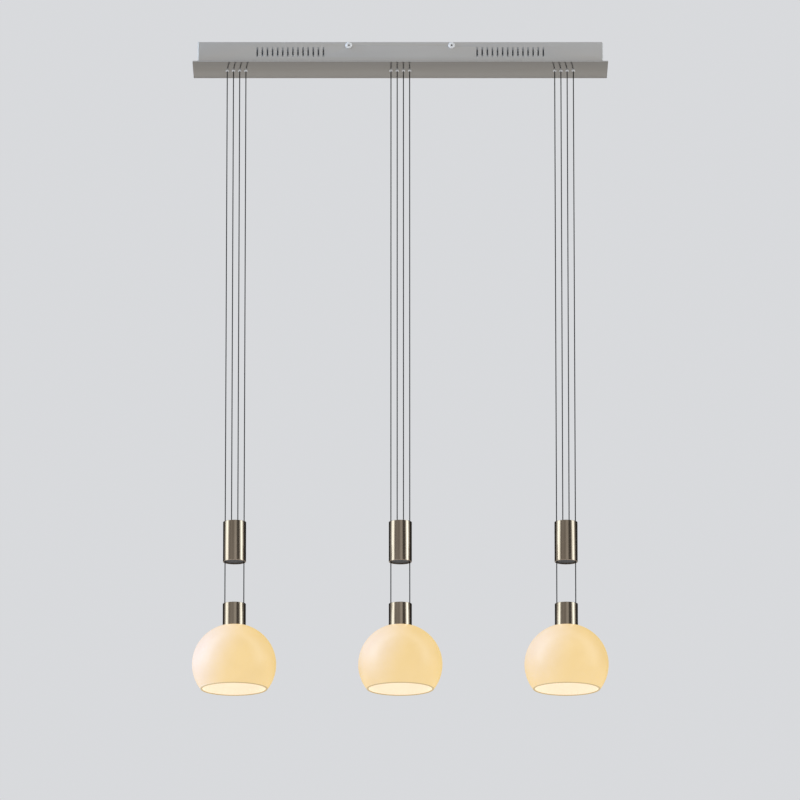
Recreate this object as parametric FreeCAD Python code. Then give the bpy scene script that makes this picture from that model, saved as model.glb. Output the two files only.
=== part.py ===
import FreeCAD, Part
import math
import os

# Rise and fall pendant: three opal glass shades on one long canopy. Each lamp head hangs on two
# low-voltage ropes that run up through a counterweight, over a pulley each in the canopy, and
# down again to the counterweight, so a lamp drops as far as its counterweight climbs.
# Millimetres. The origin is in the ceiling plane at the canopy's centre, +Z is up and +X runs
# along the canopy. Every pendulum is built at x = 0 and moved to its place.

# Canopy: a folded frame with a flange at its foot, closed by a plate that stands out all round
canopy_length = 780.0
canopy_width = 100.0
canopy_height = 40.0
canopy_sheet = 1.0
canopy_corner_radius = 2.0
canopy_flange = 13.0
plate_overhang = 10.0
plate_thickness = 2.0
plate_edge_chamfer = 0.4

# Cooling slots in both long sides, one group in front of each driver
vent_count = 14
vent_pitch = 9.8
vent_width = 3.0
vent_height = 19.0
vent_top = 10.2

# Screws in the long sides that hold the canopy to the ceiling bracket
side_screw_x = 99.0
side_screw_depth = 7.2
side_screw_radius = 2.0
side_screw_head_radius = 6.2
side_screw_head_height = 3.6
side_screw_rim_height = 2.2
side_screw_crown_inset = 1.4
side_screw_socket = 3.0
side_screw_socket_depth = 2.2
side_screw_tip = 3.0

# Ceiling bracket: a shallow channel with two cross arms
bracket_end_room = 50.0
bracket_width = 50.0
bracket_sheet = 1.5
bracket_lip = 8.0
bracket_arm_width = 18.0
bracket_arm_drop = 14.0
bracket_fit_gap = 0.2
ceiling_slot_spacing = 600.0
ceiling_slot_width = 5.0
ceiling_slot_length = 20.0
cable_hole_radius = 10.0

# Studs welded to the plate, with their nuts
stud_radius = 2.0
stud_height = 7.0
stud_end_distance = 30.0
studs_along = 4
nut_across_flats = 7.0
nut_height = 3.2

# Electrical pieces on the plate
driver_gap = 2.3
driver_length = 130.0
driver_width = 42.0
driver_height = 22.0
driver_edge_chamfer = 2.2
driver_lug_length = 10.0
driver_lug_height = 3.0
terminal_gap = 10.0
terminal_length = 34.0
terminal_width = 20.0
terminal_height = 14.0
terminal_ways = 3
terminal_wire_rise = 0.65
terminal_wire_depth = 5.0
terminal_well_radius = 4.9
mains_lead_radius = 1.6
output_lead_radius = 0.9
output_lead_rise = 0.55
lead_clearance = 6.0
lead_bend = 4.0

# Pendulums, and their ropes and pulleys
pendulum_end_distance = 74.0
rope_radius = 1.0
rope_inset = 6.0
pulley_pitch_radius = 6.0
pulley_rim_radius = 8.0
pulley_width = 5.0
pulley_hub_width = 7.0
pulley_hub_radius = 3.6
pulley_rim_edge = 0.5
pulley_drop = 26.0
axle_radius = 1.5
axle_head_radius = 2.4
axle_head_height = 0.8
running_gap = 0.05
rope_groove_gap = 0.15

# Moulded frame that holds the two pulleys of a pendulum
frame_base_length = 54.0
frame_base_width = 20.0
frame_base_height = 3.0
frame_cheek_length = 46.0
frame_cheek_thickness = 2.0
frame_cheek_gap = 10.0
frame_cheek_rise = 10.0
frame_web = 2.4

# Bronze leaf that feeds each pulley
spring_thickness = 0.4
spring_width = 4.0
spring_tag = 5.0
spring_hub_gap = 0.1

# Rope bushes, screwed from below through the plate into the pulley frame
bush_head_radius = 3.25
bush_head_height = 3.0
bush_shank_radius = 2.5
bush_rope_gap = 0.3
hole_gap = 0.1

# Counterweight
weight_top_depth = 936.0
weight_height = 78.0
tube_wall = 1.5
rope_edge_margin = 2.5
tube_edge_chamfer = 0.7
weight_recess = 2.0
upper_guide_height = 14.0
lower_guide_height = 6.0
guide_rope_gap = 0.35
core_groove_radius = 2.5
core_bore_radius = 4.2
weight_clamp_radius = 3.4
weight_clamp_height = 10.0
rope_grip_depth = 8.0
guide_fit_gap = 0.1
seat_gap = 0.3
clamp_grip_gap = 0.05

# Lamp head
weight_to_cap = 81.5
cap_height = 44.5
cap_top_wall = 3.0
clamp_block_height = 16.0
clamp_width = 5.6
clamp_outer_wall = 0.4
clamp_depth = 8.0
clamp_height = 10.0
spigot_outer_radius = 13.9
spigot_inner_radius = 10.0
spigot_length = 22.0
ring_wall = 1.6
ring_overlap = 12.0
ring_flange_radius = 24.0
ring_flange_height = 2.0
holder_height = 21.0
holder_radius = 9.7
pin_radius = 0.6
pin_offset = 3.2
pin_length = 7.0
bulb_base_radius = 5.6
bulb_base_height = 9.0
bulb_radius = 7.0
bulb_length = 48.0
bulb_neck_height = 1.0
bulb_tip_rounding = 3.5

# Glass shade: a flattened ball, ground flat at its neck and open below
shade_radius = 80.0
shade_flattening = 2.0
neck_seat_margin = 6.0
mouth_inset = 16.0
glass_wall = 3.0
glass_hole_gap = 0.6

# Sizes that follow from the ones above
plate_length = canopy_length + 2 * plate_overhang
plate_width = canopy_width + 2 * plate_overhang
pendulum_pitch = canopy_length / 2 - pendulum_end_distance
bracket_length = canopy_length - 2 * bracket_end_room
driver_reach = driver_gap + driver_lug_length + driver_length / 2
driver_x = pendulum_pitch - frame_base_length / 2 - driver_reach
terminal_x = frame_base_length / 2 + terminal_gap + terminal_length / 2
plate_top = -canopy_height
plate_bottom = plate_top - plate_thickness
rope_mouth = plate_bottom - bush_head_height
inner_wall_y = canopy_width / 2 - canopy_sheet
rope_outset = rope_inset + 2 * pulley_pitch_radius
pulley_x = rope_inset + pulley_pitch_radius
pulley_z = -pulley_drop
frame_base_top = plate_top + frame_base_height
frame_cheek_top = pulley_z + frame_cheek_rise
frame_half_gap = frame_cheek_gap / 2
rope_hole_radius = rope_radius + guide_rope_gap
tube_inner_radius = rope_outset + rope_edge_margin
tube_outer_radius = tube_inner_radius + tube_wall
weight_top = -weight_top_depth
weight_bottom = weight_top - weight_height
upper_guide_top = weight_top - weight_recess
lower_guide_bottom = weight_bottom + weight_recess
cap_top = weight_bottom - weight_to_cap
block_top = cap_top - cap_top_wall
block_bottom = block_top - clamp_block_height
seat_z = cap_top - cap_height
neck_seat_radius = tube_outer_radius + neck_seat_margin
shade_half_height = shade_radius - shade_flattening
seat_rise = shade_half_height * math.sqrt(1 - (neck_seat_radius / shade_radius) ** 2)
shade_centre_z = seat_z - seat_rise
mouth_radius = shade_radius - mouth_inset
mouth_drop = shade_half_height * math.sqrt(1 - (mouth_radius / shade_radius) ** 2)
ring_inner_radius = spigot_outer_radius + running_gap
ring_outer_radius = ring_inner_radius + ring_wall
glass_hole_radius = ring_outer_radius + glass_hole_gap
pendulums = {"left": -pendulum_pitch, "middle": 0.0, "right": pendulum_pitch}
both_sides = (-1, 1)
X_AXIS = FreeCAD.Vector(1, 0, 0)
Y_AXIS = FreeCAD.Vector(0, 1, 0)
Z_AXIS = FreeCAD.Vector(0, 0, 1)


def at(x, y, z):
    return FreeCAD.Vector(x, y, z)


def block(x_low, x_high, y_low, y_high, z_low, z_high):
    return Part.makeBox(x_high - x_low, y_high - y_low, z_high - z_low, at(x_low, y_low, z_low))


def rod(radius, z_low, z_high, x=0.0, y=0.0):
    return Part.makeCylinder(radius, z_high - z_low, at(x, y, z_low), Z_AXIS)


def cross_rod(radius, y_low, y_high, x, z):
    return Part.makeCylinder(radius, y_high - y_low, at(x, y_low, z), Y_AXIS)


def ring(outer_radius, inner_radius, z_low, z_high, x=0.0):
    return rod(outer_radius, z_low, z_high, x).cut(rod(inner_radius, z_low, z_high, x))


def hexagon(across_flats, z_low, z_high):
    corner = across_flats / math.sqrt(3)
    turns = [math.radians(60 * i) for i in range(7)]
    points = [at(corner * math.cos(a), corner * math.sin(a), z_low) for a in turns]
    return Part.Face(Part.makePolygon(points)).extrude(at(0, 0, z_high - z_low))


def lathe(outline):
    """Turn a closed (radius, z) outline about the Z axis."""
    points = [at(radius, 0, z) for radius, z in outline]
    return Part.Face(Part.makePolygon(points + points[:1])).revolve(at(0, 0, 0), Z_AXIS, 360)


def bent_tube(points, radius, bend):
    """A tube along straight runs, joined at each corner by an arc of the given radius."""
    edges = []
    start = points[0]
    for corner, after in zip(points[1:-1], points[2:]):
        inward = (start - corner).normalize()
        onward = (after - corner).normalize()
        half_angle = inward.getAngle(onward) / 2
        trim = bend / math.tan(half_angle)
        arc_start = corner + inward * trim
        arc_end = corner + onward * trim
        middle_way = (inward + onward).normalize()
        arc_middle = corner + middle_way * (bend / math.sin(half_angle) - bend)
        edges.append(Part.LineSegment(start, arc_start).toShape())
        edges.append(Part.Arc(arc_start, arc_middle, arc_end).toShape())
        start = arc_end
    edges.append(Part.LineSegment(start, points[-1]).toShape())
    path = Part.Wire(edges)
    section = Part.Wire(Part.Circle(points[0], points[1] - points[0], radius).toShape())
    return path.makePipeShell([section], True, False), path.Length


def moved(shape, x):
    copy = shape.copy()
    copy.translate(at(x, 0, 0))
    return copy


def save(node, solids):
    for solid in solids:
        if not solid.isValid() or len(solid.Solids) != 1:
            raise ValueError(f"{node} isn't one sound solid")
    shape = solids[0] if len(solids) == 1 else Part.makeCompound(solids)
    shape.exportStep(f"parts/{node}.step")
    return shape


def rounded_prism(length, width, z_low, z_high, radius):
    prism = block(-length / 2, length / 2, -width / 2, width / 2, z_low, z_high)
    upright = [e for e in prism.Edges if abs(e.tangentAt(e.FirstParameter).z) > 0.5]
    return prism.makeFillet(radius, upright)


def stud_places():
    """Studs for the canopy's flange, then those for the drivers' lugs and the terminal block."""
    flange_y = inner_wall_y - canopy_flange / 2
    first_x = stud_end_distance - canopy_length / 2
    stud_pitch = -2 * first_x / (studs_along - 1)
    flange_rows = [
        (first_x + i * stud_pitch, side * flange_y) for i in range(studs_along) for side in both_sides
    ]
    lug_reach = (driver_length + driver_lug_length) / 2
    lug_places = [(d * driver_x + e * lug_reach, 0.0) for d in both_sides for e in both_sides]
    return flange_rows, lug_places + [(terminal_x, 0.0)]


# Canopy

def canopy_housing():
    frame = rounded_prism(canopy_length, canopy_width, plate_top, 0, canopy_corner_radius)
    inner_length = canopy_length - 2 * canopy_sheet
    room = rounded_prism(
        inner_length, 2 * inner_wall_y, plate_top + canopy_sheet, 1, canopy_corner_radius - canopy_sheet
    )
    half_window_x = inner_length / 2 - canopy_flange
    half_window_y = inner_wall_y - canopy_flange
    window = block(
        -half_window_x, half_window_x, -half_window_y, half_window_y, plate_top - 1, 1
    )
    cuts = [room, window]
    for group in both_sides:
        for i in range(vent_count):
            x = group * driver_x + (i - (vent_count - 1) / 2) * vent_pitch
            for side in both_sides:
                near, far = sorted((side * (inner_wall_y - 1), side * (canopy_width / 2 + 1)))
                cuts.append(
                    block(
                        x - vent_width / 2, x + vent_width / 2, near, far,
                        -vent_top - vent_height, -vent_top,
                    )
                )
    for x in (-side_screw_x, side_screw_x):
        cuts.append(
            cross_rod(side_screw_radius + hole_gap, -canopy_width, canopy_width, x, -side_screw_depth)
        )
    for x, y in stud_places()[0]:
        cuts.append(rod(stud_radius + hole_gap, plate_top - 1, plate_top + canopy_sheet + 1, x, y))
    return frame.cut(cuts)


def bottom_plate():
    plate = block(
        -plate_length / 2, plate_length / 2, -plate_width / 2, plate_width / 2, plate_bottom, plate_top
    )
    plate = plate.makeChamfer(plate_edge_chamfer, plate.Edges)
    holes = [
        rod(bush_shank_radius + hole_gap, plate_bottom - 1, plate_top + 1, x + offset)
        for x in pendulums.values()
        for offset in (-rope_outset, -rope_inset, rope_inset, rope_outset)
    ]
    return plate.cut(holes)


def plate_studs():
    return [
        rod(stud_radius, plate_top, plate_top + stud_height, x, y)
        for group in stud_places()
        for x, y in group
    ]


def plate_nuts():
    nut = hexagon(nut_across_flats, 0, nut_height).cut(rod(stud_radius + running_gap, 0, nut_height))
    flange_places, lug_places = stud_places()
    nuts = []
    for places, seat in (
        (flange_places, plate_top + canopy_sheet),
        (lug_places, plate_top + driver_lug_height),
    ):
        for x, y in places:
            copy = nut.copy()
            copy.translate(at(x, y, seat))
            nuts.append(copy)
    return nuts


def canopy_screws():
    """Round-headed socket screws through the canopy's long sides into the bracket's arms."""
    tip = canopy_sheet + bracket_fit_gap + bracket_sheet + side_screw_tip
    head = side_screw_head_height
    rim = side_screw_head_radius
    crown_inset = side_screw_crown_inset
    outline = [
        (0, -tip),
        (side_screw_radius, -tip),
        (side_screw_radius, 0),
        (rim, 0),
        (rim, side_screw_rim_height),
        (rim - crown_inset / 3, (side_screw_rim_height + 2 * head) / 3),
        (rim - crown_inset, head),
        (0, head),
    ]
    socket = hexagon(side_screw_socket, head - side_screw_socket_depth, head + 1)
    screw = lathe(outline).cut(socket)
    screws = []
    for side in both_sides:
        for x in (-side_screw_x, side_screw_x):
            copy = screw.copy()
            copy.rotate(at(0, 0, 0), X_AXIS, -90 * side)
            copy.translate(at(x, side * canopy_width / 2, -side_screw_depth))
            screws.append(copy)
    return screws


def ceiling_bracket():
    half_width = bracket_width / 2
    arm_reach = inner_wall_y - bracket_fit_gap
    half_length = bracket_length / 2
    strip = block(-half_length, half_length, -half_width, half_width, -bracket_sheet, 0)
    pieces = []
    for side in both_sides:
        near, far = sorted((side * half_width, side * (half_width - bracket_sheet)))
        pieces.append(block(-half_length, half_length, near, far, -bracket_lip, 0))
        near, far = sorted((side * arm_reach, side * (arm_reach - bracket_sheet)))
        for x in (-side_screw_x, side_screw_x):
            low, high = x - bracket_arm_width / 2, x + bracket_arm_width / 2
            pieces.append(block(low, high, near, far, -bracket_arm_drop, 0))
            pieces.append(block(low, high, -arm_reach, arm_reach, -bracket_sheet, 0))
    cuts = [rod(cable_hole_radius, -bracket_sheet - 1, 1, terminal_x)]
    slot_radius = ceiling_slot_width / 2
    slot_run = ceiling_slot_length / 2 - slot_radius
    for x in (-ceiling_slot_spacing / 2, ceiling_slot_spacing / 2):
        cuts.append(block(x - slot_run, x + slot_run, -slot_radius, slot_radius, -bracket_sheet - 1, 1))
        cuts += [rod(slot_radius, -bracket_sheet - 1, 1, x + end * slot_run) for end in both_sides]
    for x in (-side_screw_x, side_screw_x):
        cuts.append(
            cross_rod(side_screw_radius + running_gap, -canopy_width, canopy_width, x, -side_screw_depth)
        )
    return strip.fuse(pieces).removeSplitter().cut(cuts)


# Electrical pieces

def led_driver(x):
    half_length = driver_length / 2
    case = block(
        -half_length, half_length, -driver_width / 2, driver_width / 2,
        plate_top, plate_top + driver_height,
    )
    upper = [e for e in case.Edges if e.BoundBox.ZMin > plate_top + 1]
    case = case.makeChamfer(driver_edge_chamfer, upper)
    reach = half_length + driver_lug_length
    lugs = block(
        -reach, reach, -driver_lug_length / 2, driver_lug_length / 2,
        plate_top, plate_top + driver_lug_height,
    )
    holes = [
        rod(
            stud_radius + hole_gap, plate_top - 1, plate_top + driver_lug_height + 1,
            end * (driver_length + driver_lug_length) / 2,
        )
        for end in both_sides
    ]
    return moved(case.fuse(lugs).cut(holes), x)


def terminal_block():
    body = block(
        -terminal_length / 2, terminal_length / 2, -terminal_width / 2, terminal_width / 2,
        plate_top, plate_top + terminal_height,
    )
    way_pitch = terminal_width / terminal_ways
    wire_z = plate_top + terminal_height * terminal_wire_rise
    cuts = [rod(terminal_well_radius, plate_top + driver_lug_height, 0)]
    cuts.append(rod(stud_radius + hole_gap, plate_top - 1, 0))
    for i in range(terminal_ways):
        y = (i - (terminal_ways - 1) / 2) * way_pitch
        for end in both_sides:
            inner_x = terminal_length / 2 - terminal_wire_depth
            near, far = sorted((end * inner_x, end * (terminal_length / 2 + 1)))
            cuts.append(
                Part.makeCylinder(mains_lead_radius + hole_gap, far - near, at(near, y, wire_z), X_AXIS)
            )
    return moved(body.cut(cuts), terminal_x)


# Pulleys

def pulley_frame():
    half_base = frame_base_length / 2
    half_cheek = frame_cheek_length / 2
    base = block(
        -half_base, half_base, -frame_base_width / 2, frame_base_width / 2, plate_top, frame_base_top
    )
    outer_y = frame_half_gap + frame_cheek_thickness
    cheeks = block(-half_cheek, half_cheek, -outer_y, outer_y, plate_top, frame_cheek_top)
    room = block(
        -half_cheek - 1, half_cheek + 1, -frame_half_gap, frame_half_gap, frame_base_top, frame_cheek_top + 1
    )
    web = block(-frame_web / 2, frame_web / 2, -outer_y, outer_y, plate_top, frame_cheek_top)
    cuts = [
        rod(bush_shank_radius + running_gap, plate_top - 1, frame_base_top + 1, offset)
        for offset in (-rope_outset, -rope_inset, rope_inset, rope_outset)
    ]
    for side in both_sides:
        cuts.append(cross_rod(axle_radius + running_gap, -outer_y - 1, outer_y + 1, side * pulley_x, pulley_z))
    return base.fuse(cheeks.cut(room)).fuse(web).removeSplitter().cut(cuts)


def pulley_axle():
    outer_y = frame_half_gap + frame_cheek_thickness
    pin = cross_rod(axle_radius, -outer_y, outer_y + axle_head_height, 0, pulley_z)
    head = cross_rod(axle_head_radius, -outer_y - axle_head_height, -outer_y, 0, pulley_z)
    return pin.fuse(head)


def pulley():
    """A grooved wheel: the rope runs at the pitch radius between its rims."""
    groove = rope_radius + rope_groove_gap
    half_width = pulley_width / 2
    half_hub = pulley_hub_width / 2
    bore = axle_radius + running_gap
    rim_mouth = half_width - pulley_rim_edge
    points = [
        (bore, -half_hub),
        (pulley_hub_radius, -half_hub),
        (pulley_hub_radius, -half_width),
        (pulley_rim_radius, -half_width),
        (pulley_rim_radius, -rim_mouth),
        (pulley_pitch_radius, -groove),
    ]
    lower = [at(radius, 0, z) for radius, z in points]
    upper = [at(radius, 0, -z) for radius, z in reversed(points)]
    valley = at(pulley_pitch_radius - groove, 0, 0)
    edges = [Part.LineSegment(a, b).toShape() for a, b in zip(lower, lower[1:])]
    edges.append(Part.Arc(lower[-1], valley, upper[0]).toShape())
    edges += [Part.LineSegment(a, b).toShape() for a, b in zip(upper, upper[1:])]
    edges.append(Part.LineSegment(upper[-1], lower[0]).toShape())
    wheel = Part.Face(Part.Wire(edges)).revolve(at(0, 0, 0), Z_AXIS, 360)
    wheel.rotate(at(0, 0, 0), X_AXIS, 90)
    wheel.translate(at(0, 0, pulley_z))
    return wheel


def contact_spring():
    """A bronze leaf that bears on the pulley's hub, hooked over the frame's rear cheek."""
    hub_y = pulley_hub_width / 2 + spring_hub_gap
    tag_end = frame_half_gap + frame_cheek_thickness + spring_tag
    half_width = spring_width / 2
    leaf_low = pulley_z + axle_radius + seat_gap
    leaf = block(-half_width, half_width, hub_y, hub_y + spring_thickness, leaf_low, frame_cheek_top)
    tag = block(
        -half_width, half_width, hub_y, tag_end, frame_cheek_top, frame_cheek_top + spring_thickness
    )
    return leaf.fuse(tag).removeSplitter()


def rope_bush():
    """A flanged guide: its head stands below the plate and its shank holds the pulley frame."""
    bore = rope_radius + bush_rope_gap
    head_top = plate_bottom
    nose = bush_head_height / 4
    return lathe([
        (bore, rope_mouth + nose / 2),
        (bore + nose / 2, rope_mouth),
        (bush_head_radius - nose, rope_mouth),
        (bush_head_radius, rope_mouth + nose),
        (bush_head_radius, head_top),
        (bush_shank_radius, head_top),
        (bush_shank_radius, frame_base_top),
        (bore, frame_base_top),
    ])


def rope_loop(side):
    """The stretch of rope inside the canopy: up from one bush, half round the pulley, down."""
    outer_foot = at(side * rope_outset, 0, rope_mouth)
    inner_foot = at(side * rope_inset, 0, rope_mouth)
    outer_tangent = at(side * rope_outset, 0, pulley_z)
    inner_tangent = at(side * rope_inset, 0, pulley_z)
    crown = at(side * pulley_x, 0, pulley_z + pulley_pitch_radius)
    path = Part.Wire([
        Part.LineSegment(outer_foot, outer_tangent).toShape(),
        Part.Arc(outer_tangent, crown, inner_tangent).toShape(),
        Part.LineSegment(inner_tangent, inner_foot).toShape(),
    ])
    section = Part.Wire(Part.Circle(outer_foot, Z_AXIS, rope_radius).toShape())
    return path.makePipeShell([section], True, False), path.Length


# Counterweight

def hanging_ropes(offset, end_z):
    """Two taut falls of rope, from the bushes' mouths to a blind clamp."""
    return [rod(rope_radius, end_z, rope_mouth, side * offset) for side in both_sides]


def weight_sleeve():
    bevel = tube_edge_chamfer
    return lathe([
        (tube_inner_radius, weight_bottom),
        (tube_outer_radius - bevel, weight_bottom),
        (tube_outer_radius, weight_bottom + bevel),
        (tube_outer_radius, weight_top - bevel),
        (tube_outer_radius - bevel, weight_top),
        (tube_inner_radius, weight_top),
    ])


def weight_core():
    low = lower_guide_bottom + lower_guide_height
    high = upper_guide_top - upper_guide_height
    core = ring(tube_inner_radius - seat_gap, core_bore_radius, low, high)
    grooves = [rod(core_groove_radius, low - 1, high + 1, side * rope_outset) for side in both_sides]
    return core.cut(grooves)


def weight_guides():
    """Moulded end discs: the upper one also holds the clamps of the weight's own ropes."""
    radius = tube_inner_radius - guide_fit_gap
    upper_low = upper_guide_top - upper_guide_height
    upper = rod(radius, upper_low, upper_guide_top)
    lower = rod(radius, lower_guide_bottom, lower_guide_bottom + lower_guide_height)
    falls = [rod(rope_hole_radius, weight_bottom, weight_top, side * rope_outset) for side in both_sides]
    pockets = []
    for side in both_sides:
        x = side * rope_inset
        pocket_low = upper_guide_top - weight_clamp_height - 2 * running_gap
        pockets.append(rod(weight_clamp_radius + running_gap, pocket_low, weight_top, x))
    return [lower.cut(falls), upper.cut(falls + pockets)]


def weight_rope_clamps():
    low = upper_guide_top - weight_clamp_height
    bore_low = upper_guide_top - rope_grip_depth
    clamps = []
    for side in both_sides:
        x = side * rope_inset
        body = rod(weight_clamp_radius - running_gap, low, upper_guide_top, x)
        clamps.append(body.cut(rod(rope_radius + clamp_grip_gap, bore_low, upper_guide_top, x)))
    return clamps, bore_low


# Lamp head

def holder_cap():
    bevel = tube_edge_chamfer
    cap = lathe([
        (0, cap_top - cap_top_wall),
        (tube_inner_radius, cap_top - cap_top_wall),
        (tube_inner_radius, seat_z),
        (tube_outer_radius, seat_z),
        (tube_outer_radius, cap_top - bevel),
        (tube_outer_radius - bevel, cap_top),
        (0, cap_top),
    ])
    return cap.cut([rod(rope_hole_radius, block_top - 1, cap_top + 1, side * rope_outset)
                    for side in both_sides])


def clamp_pocket(side, gap):
    """The room of one rope clamp, which opens on the clamp block's rim."""
    inner_x = rope_outset + rope_radius + clamp_outer_wall - clamp_width
    near, far = sorted((side * (inner_x - gap), side * (inner_x + clamp_width + gap)))
    return block(
        near, far, -clamp_depth / 2 - gap, clamp_depth / 2 + gap, block_top - clamp_height - gap, block_top
    )


def clamp_block():
    disc = rod(tube_inner_radius - seat_gap, block_bottom, block_top)
    spigot = rod(spigot_outer_radius, block_bottom - spigot_length, block_bottom)
    bore = rod(spigot_inner_radius, block_bottom - spigot_length - 1, block_bottom)
    return disc.fuse(spigot).cut([bore] + [clamp_pocket(side, running_gap) for side in both_sides])


def lamp_rope_clamps():
    bore_low = block_top - rope_grip_depth
    rim = rod(tube_inner_radius - seat_gap, block_bottom, block_top)
    clamps = []
    for side in both_sides:
        bore = rod(rope_radius + clamp_grip_gap, bore_low, block_top, side * rope_outset)
        clamps.append(clamp_pocket(side, 0).common(rim).cut(bore))
    return clamps, bore_low


def lamp_holder():
    holder = rod(holder_radius, block_bottom - holder_height, block_bottom)
    low = block_bottom - holder_height
    sockets = [rod(pin_radius + hole_gap, low - 1, low + pin_length + 1, side * pin_offset)
               for side in both_sides]
    return holder.cut(sockets)


def shade_ring():
    """A threaded ring: its tube goes up over the spigot and its flange carries the glass."""
    flange_top = seat_z - glass_wall
    flange_bottom = flange_top - ring_flange_height
    tube_top = seat_z + ring_overlap
    return lathe([
        (ring_inner_radius, flange_bottom),
        (ring_flange_radius, flange_bottom),
        (ring_flange_radius, flange_top),
        (ring_outer_radius, flange_top),
        (ring_outer_radius, tube_top),
        (ring_inner_radius, tube_top),
    ])


def ellipse_arc(half_width, half_height, high, low):
    """The right-hand side of an upright ellipse about the shade's centre, between two heights."""
    centre = at(0, 0, shade_centre_z)
    ellipse = Part.Ellipse(centre + at(half_width, 0, 0), centre + at(0, 0, half_height), centre)
    return ellipse.toShape(math.asin(low / half_height), math.asin(high / half_height))


def radius_at(half_width, half_height, rise):
    return half_width * math.sqrt(1 - (rise / half_height) ** 2)


def glass_shade():
    """A shell of even thickness with a flat neck and a rounded lip."""
    inner_radius = shade_radius - glass_wall
    inner_half_height = shade_half_height - glass_wall
    neck_rise = seat_rise - glass_wall
    outer = ellipse_arc(shade_radius, shade_half_height, seat_rise, -mouth_drop)
    inner = ellipse_arc(inner_radius, inner_half_height, neck_rise, -mouth_drop)

    neck_inner_radius = radius_at(inner_radius, inner_half_height, neck_rise)
    lip_inner_radius = radius_at(inner_radius, inner_half_height, mouth_drop)
    neck_z = shade_centre_z + neck_rise
    mouth_z = shade_centre_z - mouth_drop
    lip_outer = at(mouth_radius, 0, mouth_z)
    lip_inner = at(lip_inner_radius, 0, mouth_z)
    lip_lowest = at((mouth_radius + lip_inner_radius) / 2, 0, mouth_z - glass_wall / 2)
    edges = [
        outer,
        Part.Arc(lip_outer, lip_lowest, lip_inner).toShape(),
        inner,
        Part.LineSegment(at(neck_inner_radius, 0, neck_z), at(glass_hole_radius, 0, neck_z)).toShape(),
        Part.LineSegment(at(glass_hole_radius, 0, neck_z), at(glass_hole_radius, 0, seat_z)).toShape(),
        Part.LineSegment(at(glass_hole_radius, 0, seat_z), at(neck_seat_radius, 0, seat_z)).toShape(),
    ]
    wire = Part.Wire(Part.__sortEdges__(edges))
    return Part.Face(wire).revolve(at(0, 0, 0), Z_AXIS, 360)


def bulb():
    top = block_bottom - holder_height
    base_low = top - bulb_base_height
    tip_z = top - bulb_length
    rounding = bulb_tip_rounding
    flat_radius = bulb_radius - rounding
    capsule = lathe([
        (0, top),
        (bulb_base_radius, top),
        (bulb_base_radius, base_low),
        (bulb_radius, base_low - bulb_neck_height),
        (bulb_radius, tip_z + rounding),
        (flat_radius + rounding * math.sqrt(0.5), tip_z + rounding * (1 - math.sqrt(0.5))),
        (flat_radius, tip_z),
        (0, tip_z),
    ])
    pins = [rod(pin_radius, top - 1, top + pin_length, side * pin_offset) for side in both_sides]
    return capsule.fuse(pins)


# Leads inside the canopy

def mains_leads():
    """Sheathed pairs from the terminal block to the inner end of each driver."""
    z = plate_top + terminal_height * terminal_wire_rise
    y = -terminal_width / terminal_ways
    pass_y = -frame_base_width / 2 - lead_clearance
    driver_end = driver_x - driver_length / 2
    left_end = terminal_x - terminal_length / 2
    slope = 2 * lead_clearance
    right = [at(terminal_x + terminal_length / 2, y, z), at(driver_end, y, z)]
    left = [
        at(left_end, y, z),
        at(left_end - lead_clearance, y, z),
        at(left_end - lead_clearance - slope, pass_y, z),
        at(-driver_end + lead_clearance + slope, pass_y, z),
        at(-driver_end + lead_clearance, y, z),
        at(-driver_end, y, z),
    ]
    return [bent_tube(points, mains_lead_radius, lead_bend) for points in (right, left)]


def output_leads():
    """Single leads from a driver's end to the tags of a pendulum's two contact springs."""
    tag_y = frame_half_gap + frame_cheek_thickness + spring_tag / 2
    outer_end = driver_x + driver_length / 2
    inner_end = driver_x - driver_length / 2
    feeds = (("left", -outer_end, -1), ("right", outer_end, 1), ("middle", -inner_end, 1))
    leads = []
    for name, driver_end, way in feeds:
        for order in (0, 1):
            x = pendulums[name] + way * (2 * order - 1) * pulley_x
            z = plate_top + driver_height * output_lead_rise - order * lead_clearance
            corner = at(x, tag_y, z)
            points = [at(driver_end, tag_y, z), corner, at(x, tag_y, frame_cheek_top)]
            leads.append(bent_tube(points, output_lead_radius, lead_bend))
    return leads


# Each pendulum's pieces, by node name and the solids at x = 0
weight_clamp_solids, weight_rope_end = weight_rope_clamps()
lamp_clamp_solids, lamp_rope_end = lamp_rope_clamps()
pendulum_pieces = {
    "pulley_{}_a": [moved(pulley(), -pulley_x)],
    "pulley_{}_b": [moved(pulley(), pulley_x)],
    "lamp_ropes_{}": hanging_ropes(rope_outset, lamp_rope_end),
    "weight_ropes_{}": hanging_ropes(rope_inset, weight_rope_end),
    "weight_sleeve_{}": [weight_sleeve()],
    "weight_core_{}": [weight_core()],
    "weight_guides_{}": weight_guides(),
    "weight_rope_clamps_{}": weight_clamp_solids,
    "holder_cap_{}": [holder_cap()],
    "clamp_block_{}": [clamp_block()],
    "lamp_rope_clamps_{}": lamp_clamp_solids,
    "lamp_holder_{}": [lamp_holder()],
    "shade_ring_{}": [shade_ring()],
    "glass_shade_{}": [glass_shade()],
    "bulb_{}": [bulb()],
}
pulley_places = [x + side * pulley_x for x in pendulums.values() for side in both_sides]
bush_places = [
    x + side * offset
    for x in pendulums.values()
    for side in both_sides
    for offset in (rope_inset, rope_outset)
]
loops = {side: rope_loop(side) for side in both_sides}
leads = {"mains_leads": mains_leads(), "output_leads": output_leads()}
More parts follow.
